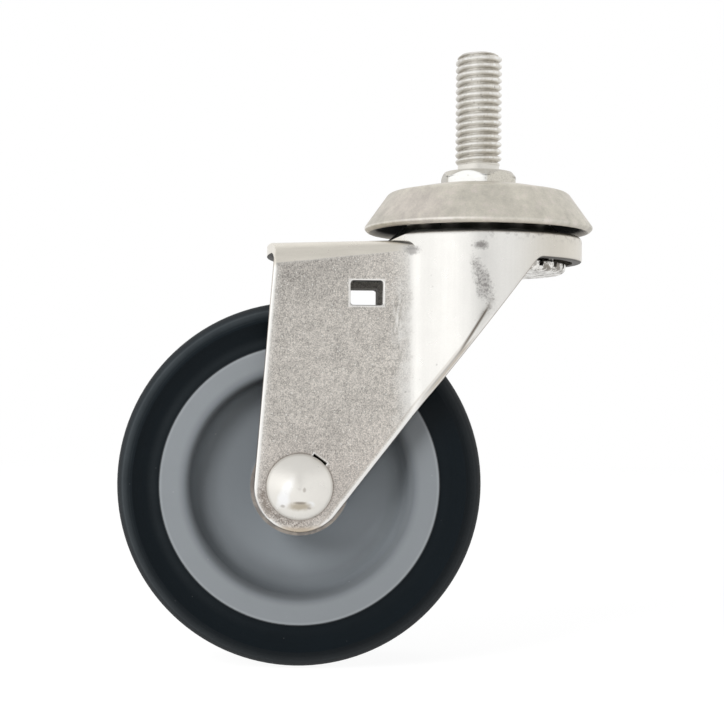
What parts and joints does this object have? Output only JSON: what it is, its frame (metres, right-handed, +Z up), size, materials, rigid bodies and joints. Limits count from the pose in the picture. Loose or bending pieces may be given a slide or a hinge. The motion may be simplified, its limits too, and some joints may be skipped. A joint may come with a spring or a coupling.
{
  "type": "swivel castor",
  "caption": "Swivel castor with a threaded stem, hex collar, pressed cap and fork, ball race, riveted axle and a solid-tyred grey wheel.",
  "frame": {"origin": "swivel axis at the top face of the hex collar, where the stem meets the equipment", "axes": "+Z up along the threaded stem, -X towards the trailing wheel, Y along the wheel axle"},
  "size_m": [0.0987, 0.048, 0.1278],
  "materials": {
    "zinc_turned_steel": "zinc plated, satin",
    "zinc_pressed_steel": "zinc plated, satin, faint blotches",
    "zinc_race_steel": "zinc plated, bright",
    "zinc_fork_steel": "zinc plated, fine mottled grain",
    "polished_rivet_steel": "polished, zinc plated",
    "sleeve_steel": "drawn tube",
    "washer_steel": "yellowed zinc, dull",
    "bearing_ball_steel": "polished, greased",
    "grey_hub_plastic": "moulded, satin",
    "dark_tyre_rubber": "moulded, satin"
  },
  "bodies": {
    "mount": {"kingpin_stem": "zinc_turned_steel", "top_cap": "zinc_pressed_steel", "lower_race_cup": "zinc_race_steel"},
    "swivel_fork": {"fork": "zinc_fork_steel", "axle_rivet": "polished_rivet_steel", "axle_sleeve": "sleeve_steel", "washer_near": "washer_steel", "washer_far": "washer_steel"},
    "wheel": {"wheel_hub": "grey_hub_plastic", "tyre": "dark_tyre_rubber"},
    "upper_balls": {"upper_ball_01": "bearing_ball_steel", "upper_ball_02": "bearing_ball_steel", "upper_ball_03": "bearing_ball_steel", "upper_ball_04": "bearing_ball_steel", "upper_ball_05": "bearing_ball_steel", "upper_ball_06": "bearing_ball_steel", "upper_ball_07": "bearing_ball_steel", "upper_ball_08": "bearing_ball_steel", "upper_ball_09": "bearing_ball_steel", "upper_ball_10": "bearing_ball_steel", "upper_ball_11": "bearing_ball_steel", "upper_ball_12": "bearing_ball_steel"},
    "lower_balls": {"lower_ball_01": "bearing_ball_steel", "lower_ball_02": "bearing_ball_steel", "lower_ball_03": "bearing_ball_steel", "lower_ball_04": "bearing_ball_steel", "lower_ball_05": "bearing_ball_steel", "lower_ball_06": "bearing_ball_steel", "lower_ball_07": "bearing_ball_steel", "lower_ball_08": "bearing_ball_steel", "lower_ball_09": "bearing_ball_steel", "lower_ball_10": "bearing_ball_steel", "lower_ball_11": "bearing_ball_steel", "lower_ball_12": "bearing_ball_steel"}
  },
  "joints": [
    {"name": "swivel", "type": "hinge", "parent": "mount", "child": "swivel_fork", "pos_m": [0, 0, 0], "axis": [0, 0, 1], "continuous": true},
    {"name": "wheel_roll", "type": "hinge", "parent": "swivel_fork", "child": "wheel", "pos_m": [-0.0372, 0, -0.0653], "axis": [0, 1, 0], "continuous": true},
    {"name": "upper_race_roll", "type": "hinge", "parent": "mount", "child": "upper_balls", "pos_m": [0, 0, 0], "axis": [0, 0, 1], "continuous": true},
    {"name": "lower_race_roll", "type": "hinge", "parent": "mount", "child": "lower_balls", "pos_m": [0, 0, 0], "axis": [0, 0, 1], "continuous": true}
  ],
  "couplings": [
    {"joint": "upper_race_roll", "follows": "swivel", "ratio": 0.5},
    {"joint": "lower_race_roll", "follows": "swivel", "ratio": 0.5}
  ]
}
